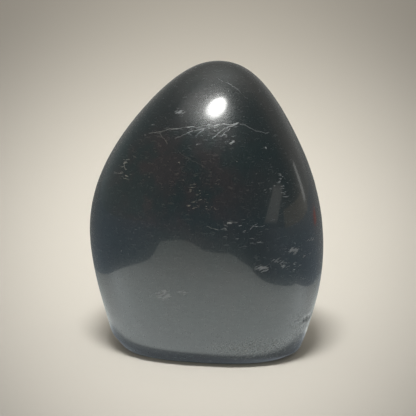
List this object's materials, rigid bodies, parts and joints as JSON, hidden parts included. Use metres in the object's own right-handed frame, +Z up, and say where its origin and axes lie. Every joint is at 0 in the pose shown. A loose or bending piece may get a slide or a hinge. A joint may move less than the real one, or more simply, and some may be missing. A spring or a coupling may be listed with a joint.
{
  "type": "polished freeform stone",
  "caption": "Free-standing polished black tourmaline, a leaning egg-shaped freeform with a small flat ground under it to rest on.",
  "frame": {"origin": "middle of the bounding box's bottom, on the surface that the stone rests on", "axes": "+Z up along the stone's height, +X to the right across its width, -Y towards its front"},
  "size_m": [0.0932, 0.0668, 0.116],
  "materials": {
    "polished_tourmaline": "hand-polished black tourmaline with fine pale veins, open flecks and a few unpolished pits"
  },
  "bodies": {
    "root": {"stone": "polished_tourmaline"}
  },
  "joints": []
}
